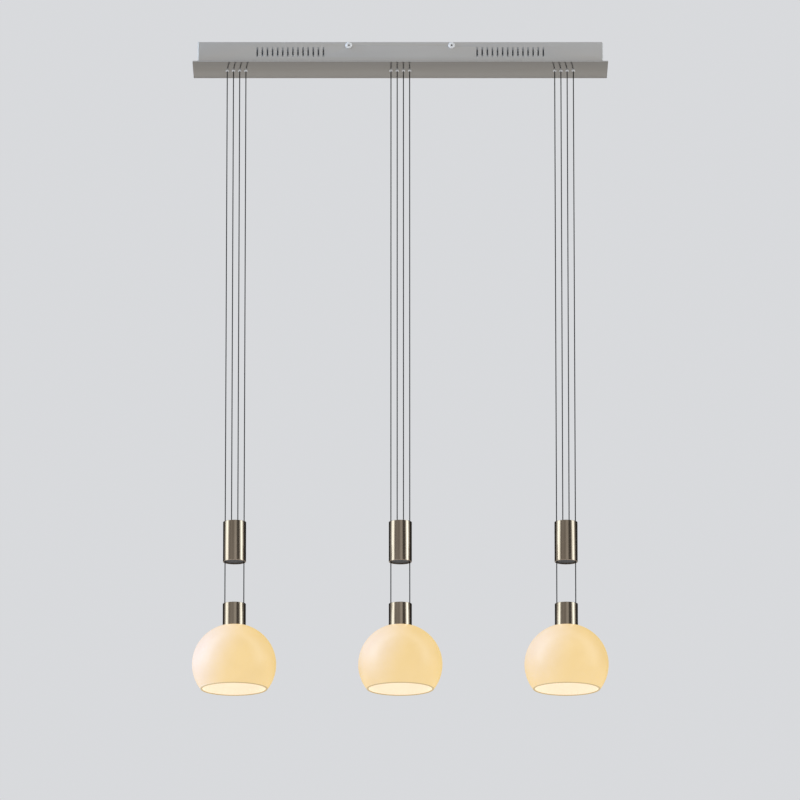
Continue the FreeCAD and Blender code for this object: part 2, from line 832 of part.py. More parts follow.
root_pieces = {
    "ceiling_bracket": [ceiling_bracket()],
    "canopy_housing": [canopy_housing()],
    "bottom_plate": [bottom_plate()],
    "canopy_screws": canopy_screws(),
    "plate_studs": plate_studs(),
    "plate_nuts": plate_nuts(),
    "led_drivers": [led_driver(side * driver_x) for side in both_sides],
    "terminal_block": [terminal_block()],
    "pulley_frames": [moved(pulley_frame(), x) for x in pendulums.values()],
    "pulley_axles": [moved(pulley_axle(), x) for x in pulley_places],
    "contact_springs": [moved(contact_spring(), x) for x in pulley_places],
    "rope_bushes": [moved(rope_bush(), x) for x in bush_places],
    "rope_loops": [moved(loops[side][0], x) for x in pendulums.values() for side in both_sides],
    "mains_leads": [solid for solid, length in leads["mains_leads"]],
    "output_leads": [solid for solid, length in leads["output_leads"]],
}

os.makedirs("parts", exist_ok=True)
for node, solids in root_pieces.items():
    save(node, solids)
for pattern, solids in pendulum_pieces.items():
    for name, x in pendulums.items():
        save(pattern.format(name), [moved(solid, x) for solid in solids])

# Each tube against its section times its length, and its bend radii
for node, radius, tubes in (
    ("rope_loops", rope_radius, list(loops.values())),
    ("mains_leads", mains_lead_radius, leads["mains_leads"]),
    ("output_leads", output_lead_radius, leads["output_leads"]),
):
    for solid, length in tubes:
        share = solid.Volume / (math.pi * radius ** 2 * length)
        print(f"{node}: length {length:.1f} mm, volume {share:.4f} of section times length")
print(f"bend radii: rope loops {pulley_pitch_radius} mm, leads {lead_bend} mm")

# Balance of a lamp head against its counterweight, in grams
density = {"glass": 2.5, "steel": 7.85, "brass": 8.5, "plastic": 1.1}
lamp_head = {
    "holder_cap_{}": "steel", "clamp_block_{}": "plastic", "lamp_rope_clamps_{}": "brass",
    "lamp_holder_{}": "plastic", "shade_ring_{}": "brass", "glass_shade_{}": "glass", "bulb_{}": "glass",
}
counterweight = {
    "weight_sleeve_{}": "steel", "weight_core_{}": "steel",
    "weight_guides_{}": "plastic", "weight_rope_clamps_{}": "brass",
}
for title, pieces in (("lamp head", lamp_head), ("counterweight", counterweight)):
    grams = sum(
        density[stuff] * solid.Volume / 1000
        for piece, stuff in pieces.items()
        for solid in pendulum_pieces[piece]
    )
    print(f"{title}: {grams:.0f} g")
print(f"plate {plate_length} x {plate_width}, rope mouth {rope_mouth}, lowest {shade_centre_z - mouth_drop}")
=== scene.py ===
import math
import bpy
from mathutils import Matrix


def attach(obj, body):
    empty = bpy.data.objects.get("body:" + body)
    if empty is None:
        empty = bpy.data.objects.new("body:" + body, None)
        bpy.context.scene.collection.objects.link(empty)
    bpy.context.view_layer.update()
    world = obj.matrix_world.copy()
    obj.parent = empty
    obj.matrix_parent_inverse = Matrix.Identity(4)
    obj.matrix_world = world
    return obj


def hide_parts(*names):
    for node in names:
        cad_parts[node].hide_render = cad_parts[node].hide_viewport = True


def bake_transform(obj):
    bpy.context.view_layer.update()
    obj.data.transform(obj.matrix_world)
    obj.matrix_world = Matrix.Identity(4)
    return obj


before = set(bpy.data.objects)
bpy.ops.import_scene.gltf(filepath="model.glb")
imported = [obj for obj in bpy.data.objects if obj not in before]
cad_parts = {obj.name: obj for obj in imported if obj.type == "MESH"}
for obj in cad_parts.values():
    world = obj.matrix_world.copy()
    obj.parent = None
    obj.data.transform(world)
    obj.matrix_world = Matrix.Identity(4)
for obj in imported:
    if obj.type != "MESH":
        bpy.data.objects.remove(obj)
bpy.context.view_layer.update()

lampPlaces = {"left": -0.316, "middle": 0.0, "right": 0.316}
bothSides = (-1, 1)

# camera, lined up with the photograph
cameraSettings = {
    "place": (-0.0006, -16.762, -4.659),
    "tiltUp": 13.3,     # degrees above the horizon
    "lens": 405.0,
    "farthest": 400,
}
cameraData = bpy.data.cameras.new("photoCamera")
cameraData.lens = cameraSettings["lens"]
cameraData.clip_end = cameraSettings["farthest"]
photoCamera = bpy.data.objects.new("photoCamera", cameraData)
bpy.context.scene.collection.objects.link(photoCamera)
photoCamera.location = cameraSettings["place"]
photoCamera.rotation_euler = (math.radians(90 + cameraSettings["tiltUp"]), 0, 0)
bpy.context.scene.camera = photoCamera
bpy.context.scene.view_settings.view_transform = "Standard"
print("camera placed")


# modelling helpers
def selectOnly(piece):
    bpy.ops.object.select_all(action="DESELECT")
    piece.select_set(True)
    bpy.context.view_layer.objects.active = piece


def applyPlace(piece):
    selectOnly(piece)
    bpy.ops.object.transform_apply(location=True, rotation=True, scale=True)


def applyModifier(piece, kind, **settings):
    selectOnly(piece)
    bpy.ops.object.modifier_add(type=kind)
    modifier = piece.modifiers[-1]
    for name, value in settings.items():
        setattr(modifier, name, value)
    bpy.ops.object.modifier_apply(modifier=modifier.name)


def startBlock(name, size, centre):
    bpy.ops.object.select_all(action="DESELECT")
    bpy.ops.mesh.primitive_cube_add(size=1, location=centre, scale=size)
    piece = bpy.context.object
    piece.name = name
    applyPlace(piece)
    return piece


def startCutter(sides, radius, depth, centre, turn=(0, 0, 0)):
    # a round or many-sided bar that cuts a hole
    bpy.ops.object.select_all(action="DESELECT")
    bpy.ops.mesh.primitive_cylinder_add(
        vertices=sides, radius=radius, depth=depth, location=centre, rotation=turn,
    )
    return bpy.context.object


def cutWith(piece, cutter):
    applyModifier(piece, "BOOLEAN", object=cutter, operation="DIFFERENCE", solver="EXACT")
    bpy.data.objects.remove(cutter)


def pick(piece, kind, wanted):
    # selects faces by centre and normal, or edges by their two ends, and stays in edit mode
    bpy.ops.object.mode_set(mode="EDIT")
    bpy.ops.mesh.select_mode(type=kind)
    bpy.ops.mesh.select_all(action="DESELECT")
    bpy.ops.object.mode_set(mode="OBJECT")
    mesh = piece.data
    if kind == "FACE":
        for face in mesh.polygons:
            face.select = wanted(face.center, face.normal)
    else:
        for edge in mesh.edges:
            ends = [mesh.vertices[i].co for i in edge.vertices]
            edge.select = wanted(ends[0], ends[1])
    bpy.ops.object.mode_set(mode="EDIT")


def arcPoints(centre, halfSizes, degrees, count):
    # (radius, z) points along part of a circle or an ellipse
    start, end = degrees
    turns = [math.radians(start + (end - start) * i / (count - 1)) for i in range(count)]
    return [
        (centre[0] + halfSizes[0] * math.cos(turn), centre[1] + halfSizes[1] * math.sin(turn))
        for turn in turns
    ]


def roundCorner(radius, z, rounding, degrees, count):
    return arcPoints((radius, z), (rounding, rounding), degrees, count)


turning = {"seedSize": 0.002, "weldDistance": 0.00001}


def turnProfile(name, profile, steps):
    # one vertex is drawn along the (radius, z) profile, then spun round the Z axis
    startRadius, startZ = profile[0]
    bpy.ops.object.select_all(action="DESELECT")
    bpy.ops.mesh.primitive_plane_add(size=turning["seedSize"], location=(startRadius, 0, startZ))
    piece = bpy.context.object
    piece.name = name
    bpy.ops.object.mode_set(mode="EDIT")
    bpy.ops.mesh.select_mode(type="VERT")
    bpy.ops.mesh.merge(type="CENTER")
    for (rA, zA), (rB, zB) in zip(profile, profile[1:]):
        step = (rB - rA, 0, zB - zA)
        bpy.ops.mesh.extrude_vertices_move(TRANSFORM_OT_translate={"value": step})
    bpy.ops.mesh.select_all(action="SELECT")
    bpy.ops.mesh.spin(steps=steps, angle=math.tau, center=(0, 0, 0), axis=(0, 0, 1))
    bpy.ops.mesh.select_all(action="SELECT")
    bpy.ops.mesh.remove_doubles(threshold=turning["weldDistance"])
    bpy.ops.mesh.normals_make_consistent(inside=False)
    bpy.ops.object.mode_set(mode="OBJECT")
    applyPlace(piece)
    return piece


def copyTo(source, name, shift, turn=(0, 0, 0)):
    selectOnly(source)
    bpy.ops.object.duplicate()
    piece = bpy.context.object
    piece.name = name
    piece.location = shift
    piece.rotation_euler = turn
    applyPlace(piece)
    return piece


def smoothEdges(piece, degrees=40):
    selectOnly(piece)
    bpy.ops.object.shade_smooth_by_angle(angle=math.radians(degrees))


def place(piece, body, node, material=None):
    # a piece that already has its materials is given none here
    if material is not None:
        piece.data.materials.clear()
        piece.data.materials.append(material)
    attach(piece, body)
    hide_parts(node)


# material helpers
noiseSpread = (0.3, 0.7)    # nearly all of a noise texture's values lie between these


def startMaterial(name):
    material = bpy.data.materials.new(name)
    material.use_nodes = True
    tree = material.node_tree
    return material, tree.nodes, tree.links, tree.nodes["Principled BSDF"]


def addMath(nodes, links, operation, *values):
    # plain numbers are set, and other nodes' outputs are linked
    node = nodes.new("ShaderNodeMath")
    node.operation = operation
    for socket, value in zip(node.inputs, values):
        if isinstance(value, (int, float)):
            socket.default_value = value
        else:
            links.new(value, socket)
    return node.outputs[0]


def stretchedNoise(nodes, links, stretch, detail):
    coordinates = nodes.new("ShaderNodeTexCoord")
    mapping = nodes.new("ShaderNodeMapping")
    mapping.inputs["Scale"].default_value = stretch
    links.new(coordinates.outputs["Object"], mapping.inputs["Vector"])
    noise = nodes.new("ShaderNodeTexNoise")
    noise.inputs["Scale"].default_value = 1.0
    noise.inputs["Detail"].default_value = detail
    links.new(mapping.outputs["Vector"], noise.inputs["Vector"])
    return noise.outputs["Fac"]


def rampBetween(nodes, links, factor, tints, spread=noiseSpread):
    ramp = nodes.new("ShaderNodeValToRGB")
    for stop, position, tint in zip(ramp.color_ramp.elements, spread, tints):
        stop.position = position
        stop.color = (*tint, 1)
    links.new(factor, ramp.inputs["Fac"])
    return ramp.outputs["Color"]


def addGloss(nodes, links, shader, factor, roughness):
    gloss = nodes.new("ShaderNodeMapRange")
    gloss.inputs["From Min"].default_value, gloss.inputs["From Max"].default_value = noiseSpread
    gloss.inputs["To Min"].default_value, gloss.inputs["To Max"].default_value = roughness
    links.new(factor, gloss.inputs["Value"])
    links.new(gloss.outputs["Result"], shader.inputs["Roughness"])


def addBump(nodes, links, shader, height, strength, depth):
    bump = nodes.new("ShaderNodeBump")
    bump.inputs["Strength"].default_value = strength
    bump.inputs["Distance"].default_value = depth
    links.new(height, bump.inputs["Height"])
    links.new(bump.outputs["Normal"], shader.inputs["Normal"])


noiseDetail = {"grain": 3.0, "patches": 2.0, "ripple": 1.0}


def grainedFinish(name, finish):
    # a metal or moulded surface: stretched fine grain, slow tint changes, uneven gloss
    material, nodes, links, shader = startMaterial(name)
    grain = stretchedNoise(nodes, links, finish["grainStretch"], noiseDetail["grain"])
    patches = stretchedNoise(nodes, links, finish["patchStretch"], noiseDetail["patches"])
    tint = rampBetween(nodes, links, patches, (finish["darker"], finish["lighter"]))
    links.new(tint, shader.inputs["Base Color"])
    addGloss(nodes, links, shader, grain, finish["roughness"])
    shader.inputs["Metallic"].default_value = finish["metallic"]
    addBump(nodes, links, shader, grain, finish["bumpStrength"], finish["bumpDepth"])
    return material


# ropes come first
ropeSettings = {
    "radius": 0.001,
    "mouth": -0.045,          # lowest point of the bushes
    "outerOffset": 0.018,     # falls to the lamp
    "innerOffset": 0.006,     # falls to the counterweight
    "lampEnd": -1.1065,
    "weightEnd": -0.946,
    "straightLead": 0.012,
    "alongSteps": 12,
    "roundSteps": 3,
    "smoothAngle": 50,
    "strandPitch": 0.011,
    "strandCount": 6,
    "darker": (0.005, 0.005, 0.005),
    "lighter": (0.016, 0.016, 0.017),
    "roughness": (0.55, 0.42),
    "shine": 0.3,
    "bumpStrength": 0.5,
    "bumpDepth": 0.00012,
}


def ropeFinish(rope):
    # stranded wire in a thin black coat: the strands follow the rope's own UV map
    material, nodes, links, shader = startMaterial("blackStrandedRope")
    coordinates = nodes.new("ShaderNodeTexCoord")
    parts = nodes.new("ShaderNodeSeparateXYZ")
    links.new(coordinates.outputs["UV"], parts.inputs["Vector"])
    along, around = parts.outputs["X"], parts.outputs["Y"]
    strandTurn = addMath(nodes, links, "MULTIPLY", around, rope["strandCount"] * math.tau)
    twist = addMath(nodes, links, "MULTIPLY_ADD", along, math.tau / rope["strandPitch"], strandTurn)
    strands = addMath(nodes, links, "SINE", twist)
    tint = rampBetween(nodes, links, strands, (rope["darker"], rope["lighter"]), (0.0, 1.0))
    links.new(tint, shader.inputs["Base Color"])
    addGloss(nodes, links, shader, strands, rope["roughness"])
    shader.inputs["Specular IOR Level"].default_value = rope["shine"]
    addBump(nodes, links, shader, strands, rope["bumpStrength"], rope["bumpDepth"])
    return material


def hangingRope(name, x, end, material):
    top = ropeSettings["mouth"]
    lead = ropeSettings["straightLead"]
    curve = bpy.data.curves.new(name, "CURVE")
    curve.dimensions = "3D"
    spline = curve.splines.new("NURBS")
    spline.points.add(3)
    for point, z in zip(spline.points, (top, top - lead, end + lead, end)):
        point.co = (x, 0, z, 1)
    spline.order_u = 3
    spline.use_endpoint_u = True
    curve.resolution_u = ropeSettings["alongSteps"]
    rope = bpy.data.objects.new(name, curve)
    bpy.context.scene.collection.objects.link(rope)
    # the bare centre line is read before the curve gets its thickness
    line = bpy.data.meshes.new_from_object(rope)
    route = [tuple(v.co) for v in line.vertices]
    bpy.data.meshes.remove(line)
    curve.bevel_depth = ropeSettings["radius"]
    curve.bevel_resolution = ropeSettings["roundSteps"]
    curve.use_fill_caps = True
    selectOnly(rope)
    bpy.ops.object.convert(target="MESH")
    rope = bpy.context.object
    mesh = rope.data
    uvLayer = mesh.uv_layers[0] if mesh.uv_layers else mesh.uv_layers.new(name="UVMap")
    for corner, uv in zip(mesh.loops, uvLayer.data):
        # U is the distance from the mouth in metres, V stays the share of a turn
        uv.uv = (top - mesh.vertices[corner.vertex_index].co.z, uv.uv[1])
    smoothEdges(rope, ropeSettings["smoothAngle"])
    mesh.materials.append(material)
    return rope, route


ropeMaterial = ropeFinish(ropeSettings)
ropeOuter, ropeInner = ropeSettings["outerOffset"], ropeSettings["innerOffset"]
for lampName, lampX in lampPlaces.items():
    falls = (
        ("lamp", ropeOuter, ropeSettings["lampEnd"], f"lamp_head_{lampName}"),
        ("weight", ropeInner, ropeSettings["weightEnd"], f"counterweight_{lampName}"),
    )
    for use, offset, end, lowerBody in falls:
        for side, sideName in zip(bothSides, "ab"):
            ropeX = lampX + side * offset
            rope, route = hangingRope(f"{use}Rope_{lampName}_{sideName}", ropeX, end, ropeMaterial)
            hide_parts(f"{use}_ropes_{lampName}")
            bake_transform(rope)
print("twelve rope falls hung")

# metal and moulded finishes
# satin housing finish, also used as a painted highlight on the bottom plate's edge faces
satinCanopyAndEdgeHighlight = grainedFinish("satinCanopyNickel", {
    "grainStretch": (6, 1400, 1400), "patchStretch": (3, 9, 9),
    "darker": (0.65, 0.632, 0.612), "lighter": (0.69, 0.672, 0.652),
    "roughness": (0.3, 0.38), "metallic": 0.6, "bumpStrength": 0.06, "bumpDepth": 0.00004,
})
satinPlate = grainedFinish("satinPlateNickel", {
    "grainStretch": (5, 1800, 1800), "patchStretch": (3, 12, 12),
    "darker": (0.27, 0.257, 0.237), "lighter": (0.30, 0.287, 0.267),
    "roughness": (0.14, 0.2), "metallic": 1.0, "bumpStrength": 0.04, "bumpDepth": 0.00003,
})
turnedNickel = grainedFinish("turnedNickel", {
    "grainStretch": (40, 40, 5200), "patchStretch": (60, 60, 4),
    "darker": (0.40, 0.315, 0.235), "lighter": (0.51, 0.415, 0.32),
    "roughness": (0.13, 0.2), "metallic": 1.0, "bumpStrength": 0.12, "bumpDepth": 0.00004,
})
bushChrome = grainedFinish("bushChrome", {
    "grainStretch": (900, 900, 900), "patchStretch": (200, 200, 200),
    "darker": (0.9, 0.9, 0.9), "lighter": (0.97, 0.97, 0.97),
    "roughness": (0.3, 0.42), "metallic": 0.3, "bumpStrength": 0.05, "bumpDepth": 0.00003,
})
zincSteel = grainedFinish("zincPlatedSteel", {
    "grainStretch": (260, 260, 260), "patchStretch": (70, 70, 70),
    "darker": (0.5, 0.51, 0.53), "lighter": (0.68, 0.69, 0.7),
    "roughness": (0.35, 0.5), "metallic": 1.0, "bumpStrength": 0.15, "bumpDepth": 0.00008,
})
turnedBrass = grainedFinish("turnedBrass", {
    "grainStretch": (400, 3000, 400), "patchStretch": (120, 120, 120),
    "darker": (0.62, 0.42, 0.16), "lighter": (0.78, 0.58, 0.28),
    "roughness": (0.2, 0.34), "metallic": 1.0, "bumpStrength": 0.12, "bumpDepth": 0.00005,
})
rolledBronze = grainedFinish("rolledBronze", {
    "grainStretch": (400, 400, 2500), "patchStretch": (150, 150, 150),
    "darker": (0.5, 0.28, 0.14), "lighter": (0.66, 0.42, 0.24),
    "roughness": (0.28, 0.4), "metallic": 1.0, "bumpStrength": 0.1, "bumpDepth": 0.00004,
})
# dark turned iron for the weight cores, also used as painted shade inside the screw sockets
darkIronAndSocketShade = grainedFinish("darkTurnedIronAndSocketShade", {
    "grainStretch": (300, 300, 900), "patchStretch": (90, 90, 90),
    "darker": (0.05, 0.05, 0.05), "lighter": (0.11, 0.105, 0.1),
    "roughness": (0.5, 0.65), "metallic": 0.8, "bumpStrength": 0.2, "bumpDepth": 0.0001,
})
blackMoulding = grainedFinish("blackMoulding", {
    "grainStretch": (1800, 1800, 1800), "patchStretch": (50, 50, 50),
    "darker": (0.018, 0.018, 0.019), "lighter": (0.032, 0.032, 0.034),
    "roughness": (0.42, 0.6), "metallic": 0.0, "bumpStrength": 0.3, "bumpDepth": 0.00008,
})
greyMoulding = grainedFinish("lightGreyMoulding", {
    "grainStretch": (1500, 1500, 1500), "patchStretch": (30, 30, 30),
    "darker": (0.68, 0.68, 0.66), "lighter": (0.76, 0.76, 0.74),
    "roughness": (0.4, 0.52), "metallic": 0.0, "bumpStrength": 0.2, "bumpDepth": 0.00006,
})
whiteMoulding = grainedFinish("whiteMoulding", {
    "grainStretch": (900, 900, 900), "patchStretch": (60, 60, 60),
    "darker": (0.78, 0.77, 0.74), "lighter": (0.86, 0.855, 0.83),
    "roughness": (0.3, 0.42), "metallic": 0.0, "bumpStrength": 0.1, "bumpDepth": 0.00005,
})
whiteCeramic = grainedFinish("whiteCeramic", {
    "grainStretch": (700, 700, 700), "patchStretch": (110, 110, 110),
    "darker": (0.76, 0.73, 0.68), "lighter": (0.86, 0.84, 0.8),
    "roughness": (0.35, 0.5), "metallic": 0.0, "bumpStrength": 0.2, "bumpDepth": 0.00008,
})
leadSheath = grainedFinish("leadSheath", {
    "grainStretch": (600, 600, 600), "patchStretch": (40, 40, 40),
    "darker": (0.42, 0.42, 0.43), "lighter": (0.52, 0.52, 0.53),
    "roughness": (0.38, 0.5), "metallic": 0.0, "bumpStrength": 0.1, "bumpDepth": 0.00005,
})
print("metal and moulded finishes mixed")

# canopy housing, folded from sheet
housing = {
    "length": 0.78, "width": 0.1, "height": 0.04, "sheet": 0.001, "flange": 0.013,
    "cornerRadius": 0.002, "cornerSteps": 5,
    "edgeRounding": 0.00035, "edgeSteps": 2, "edgeAngle": 50,
    "slotCount": 14, "slotPitch": 0.0098, "slotSize": (0.003, 0.019), "slotTop": -0.0102,
    "slotGroupX": 0.2117,
    "screwX": 0.099, "screwZ": -0.0072, "screwHole": 0.0021, "screwHoleSides": 32,
}
canopyPiece = startBlock(
    "canopyHousing", (housing["length"], housing["width"], housing["height"]),
    (0, 0, -housing["height"] / 2),
)
# the block loses its top, its foot opens up to a flange, and its upright edges get the bend radius
pick(canopyPiece, "FACE", lambda centre, normal: normal.z > 0.5)
bpy.ops.mesh.delete(type="FACE")
bpy.ops.object.mode_set(mode="OBJECT")
pick(canopyPiece, "FACE", lambda centre, normal: normal.z < -0.5)
bpy.ops.mesh.inset(thickness=housing["flange"])
bpy.ops.mesh.delete(type="FACE")
bpy.ops.object.mode_set(mode="OBJECT")
pick(canopyPiece, "EDGE", lambda a, b: abs(a.z - b.z) > housing["height"] / 4)
bpy.ops.mesh.bevel(offset=housing["cornerRadius"], segments=housing["cornerSteps"])
bpy.ops.object.mode_set(mode="OBJECT")
applyModifier(canopyPiece, "SOLIDIFY", thickness=housing["sheet"], offset=-1, use_even_offset=True)
slotWidth, slotHeight = housing["slotSize"]
for side in bothSides:
    firstX = side * housing["slotGroupX"] - (housing["slotCount"] - 1) / 2 * housing["slotPitch"]
    slotCutter = startBlock(
        "slotCutter", (slotWidth, 2 * housing["width"], slotHeight),
        (firstX, 0, housing["slotTop"] - slotHeight / 2),
    )
    applyModifier(
        slotCutter, "ARRAY", count=housing["slotCount"], use_relative_offset=False,
        use_constant_offset=True, constant_offset_displace=(housing["slotPitch"], 0, 0),
    )
    cutWith(canopyPiece, slotCutter)
for side in bothSides:
    cutWith(canopyPiece, startCutter(
        housing["screwHoleSides"], housing["screwHole"], 2 * housing["width"],
        (side * housing["screwX"], 0, housing["screwZ"]), turn=(math.pi / 2, 0, 0),
    ))
applyModifier(
    canopyPiece, "BEVEL", width=housing["edgeRounding"], segments=housing["edgeSteps"],
    limit_method="ANGLE", angle_limit=math.radians(housing["edgeAngle"]), harden_normals=False,
)
smoothEdges(canopyPiece)
place(canopyPiece, "canopy", "canopy_housing", satinCanopyAndEdgeHighlight)

# bottom plate, with rolled edges and a painted highlight on its edge faces
plate = {
    "length": 0.8, "width": 0.12, "top": -0.04, "thickness": 0.002,
    "edgeRounding": 0.0006, "edgeSteps": 4,
}
platePiece = startBlock(
    "bottomPlate", (plate["length"], plate["width"], plate["thickness"]),
    (0, 0, plate["top"] - plate["thickness"] / 2),
)
pick(platePiece, "EDGE", lambda a, b: True)
bpy.ops.mesh.bevel(offset=plate["edgeRounding"], segments=plate["edgeSteps"])
bpy.ops.object.mode_set(mode="OBJECT")
smoothEdges(platePiece)
platePiece.data.materials.append(satinPlate)
platePiece.data.materials.append(satinCanopyAndEdgeHighlight)
for face in platePiece.data.polygons:
    # the cut edges all round take the paler housing finish, as a painted highlight along the
    # plate's edges
    face.material_index = 1 if abs(face.normal.z) < 0.5 else 0
place(platePiece, "canopy", "bottom_plate")
print("canopy and plate made")

# side screws: turned heads with a six-sided socket
screw = {
    "headRadius": 0.0062, "headHeight": 0.0036, "headChamfer": 0.0003,
    "rimHeight": 0.0022, "rimRounding": 0.0014, "rimSteps": 7,
    "shankRadius": 0.002, "tip": 0.0057, "tipChamfer": 0.0004, "sides": 64,
    "socketSides": 6, "socketRadius": 0.00173, "socketDepth": 0.0022, "socketMargin": 0.0001,
}
screwPiece = turnProfile("screwPattern", [
    (0, -screw["tip"]),
    (screw["shankRadius"] - screw["tipChamfer"], -screw["tip"]),
    (screw["shankRadius"], -screw["tip"] + screw["tipChamfer"]),
    (screw["shankRadius"], 0),
    (screw["headRadius"] - screw["headChamfer"], 0),
    (screw["headRadius"], screw["headChamfer"]),
    *arcPoints(
        (screw["headRadius"] - screw["rimRounding"], screw["rimHeight"]),
        (screw["rimRounding"], screw["headHeight"] - screw["rimHeight"]),
        (0, 90), screw["rimSteps"],
    ),
    (0, screw["headHeight"]),
], screw["sides"])
cutWith(screwPiece, startCutter(
    screw["socketSides"], screw["socketRadius"], 2 * screw["socketDepth"],
    (0, 0, screw["headHeight"]),
))
smoothEdges(screwPiece)
screwPiece.data.materials.append(bushChrome)
screwPiece.data.materials.append(darkIronAndSocketShade)
for face in screwPiece.data.polygons:
    # faces inside the socket take the dark iron finish, as painted shade in the recess
    fromAxis = math.hypot(face.center.x, face.center.y)
    insideShadedSocket = fromAxis < screw["socketRadius"] + screw["socketMargin"]
    belowTop = 0 < face.center.z < screw["headHeight"] - screw["socketMargin"]
    face.material_index = 1 if insideShadedSocket and belowTop else 0
for side, sideName in zip(bothSides, ("front", "back")):
    for end, endName in zip(bothSides, ("left", "right")):
        copy = copyTo(
            screwPiece, f"sideScrew_{sideName}_{endName}",
            (end * housing["screwX"], side * housing["width"] / 2, housing["screwZ"]),
            turn=(math.radians(-90 * side), 0, 0),
        )
        place(copy, "canopy", "canopy_screws")
bpy.data.objects.remove(screwPiece)

# rope bushes with a rounded nose
bush = {
    "bore": 0.0013, "headRadius": 0.00325, "shankRadius": 0.0025, "headTop": -0.042,
    "nose": -0.045, "shankTop": -0.037, "sides": 32,
    "mouthRounding": 0.0004, "mouthSteps": 4, "rounding": 0.0009, "noseSteps": 6,
}
bushProfile = [
    *roundCorner(
        bush["bore"] + bush["mouthRounding"], bush["nose"] + bush["mouthRounding"],
        bush["mouthRounding"], (180, 270), bush["mouthSteps"],
    ),
    *roundCorner(
        bush["headRadius"] - bush["rounding"], bush["nose"] + bush["rounding"],
        bush["rounding"], (-90, 0), bush["noseSteps"],
    ),
    (bush["headRadius"], bush["headTop"]),
    (bush["shankRadius"], bush["headTop"]),
    (bush["shankRadius"], bush["shankTop"]),
    (bush["bore"], bush["shankTop"]),
]
bushPiece = turnProfile("bushPattern", bushProfile + bushProfile[:1], bush["sides"])
smoothEdges(bushPiece)
for lampName, lampX in lampPlaces.items():
    for number, offset in enumerate((-ropeOuter, -ropeInner, ropeInner, ropeOuter), 1):
        copy = copyTo(bushPiece, f"ropeBush_{lampName}_{number}", (lampX + offset, 0, 0))
        place(copy, "canopy", "rope_bushes", bushChrome)
bpy.data.objects.remove(bushPiece)
print("screws and bushes made")

# counterweight sleeve: a turned tube with rounded ends
sleeve = {
    "outer": 0.022, "inner": 0.0205, "top": -0.936, "bottom": -1.014,
    "rounding": 0.0007, "edgeSteps": 5, "sides": 128,
}
sleeveEdge = sleeve["outer"] - sleeve["rounding"]
sleevePiece = turnProfile("sleevePattern", [
    (sleeve["inner"], sleeve["bottom"]),
    *roundCorner(
        sleeveEdge, sleeve["bottom"] + sleeve["rounding"], sleeve["rounding"],
        (-90, 0), sleeve["edgeSteps"],
    ),
    *roundCorner(
        sleeveEdge, sleeve["top"] - sleeve["rounding"], sleeve["rounding"],
        (0, 90), sleeve["edgeSteps"],
    ),
    (sleeve["inner"], sleeve["top"]),
    (sleeve["inner"], sleeve["bottom"]),
], sleeve["sides"])
smoothEdges(sleevePiece)

# holder cap: a turned cup with rope holes and a shadow groove above the glass
cap = {
    "outer": 0.022, "inner": 0.0205, "top": -1.0955, "seat": -1.14, "roof": 0.003,
    "rounding": 0.0007, "edgeSteps": 5, "sides": 128,
    "grooveDepth": 0.0007, "grooveHeight": 0.0012, "grooveChamfer": 0.0003,
    "ropeHole": 0.00135, "ropeHoleSides": 32, "drillLength": 0.02,
}
capCeiling = cap["top"] - cap["roof"]
grooveRadius = cap["outer"] - cap["grooveDepth"]
grooveTop = cap["seat"] + cap["grooveHeight"]
capPiece = turnProfile("capPattern", [
    (0, capCeiling),
    (cap["inner"], capCeiling),
    (cap["inner"], cap["seat"]),
    (grooveRadius, cap["seat"]),
    (grooveRadius, grooveTop),
    (cap["outer"] - cap["grooveChamfer"], grooveTop),
    (cap["outer"], grooveTop + cap["grooveChamfer"]),
    *roundCorner(
        cap["outer"] - cap["rounding"], cap["top"] - cap["rounding"], cap["rounding"],
        (0, 90), cap["edgeSteps"],
    ),
    (0, cap["top"]),
], cap["sides"])
for side in bothSides:
    cutWith(capPiece, startCutter(
        cap["ropeHoleSides"], cap["ropeHole"], cap["drillLength"],
        (side * ropeOuter, 0, cap["top"]),
    ))
smoothEdges(capPiece)
print("sleeve and cap turned")

# opal glass, lit from inside
opalSurface = {
    "cloudStretch": (18, 18, 18), "rippleStretch": (140, 140, 140), "shine": 0.35,
    "bumpStrength": 0.05, "bumpDepth": 0.0002,
}


def opalFinish(name, glass):
    material, nodes, links, shader = startMaterial(name)
    cloud = stretchedNoise(nodes, links, opalSurface["cloudStretch"], noiseDetail["patches"])
    tint = rampBetween(nodes, links, cloud, (glass["body"], glass["bodyPale"]))
    links.new(tint, shader.inputs["Base Color"])
    glow = rampBetween(nodes, links, cloud, (glass["glow"], glass["glowPale"]))
    links.new(glow, shader.inputs["Emission Color"])
    shader.inputs["Emission Strength"].default_value = glass["glowStrength"]
    addGloss(nodes, links, shader, cloud, glass["roughness"])
    shader.inputs["Specular IOR Level"].default_value = opalSurface["shine"]
    ripple = stretchedNoise(nodes, links, opalSurface["rippleStretch"], noiseDetail["ripple"])
    addBump(nodes, links, shader, ripple, opalSurface["bumpStrength"], opalSurface["bumpDepth"])
    return material


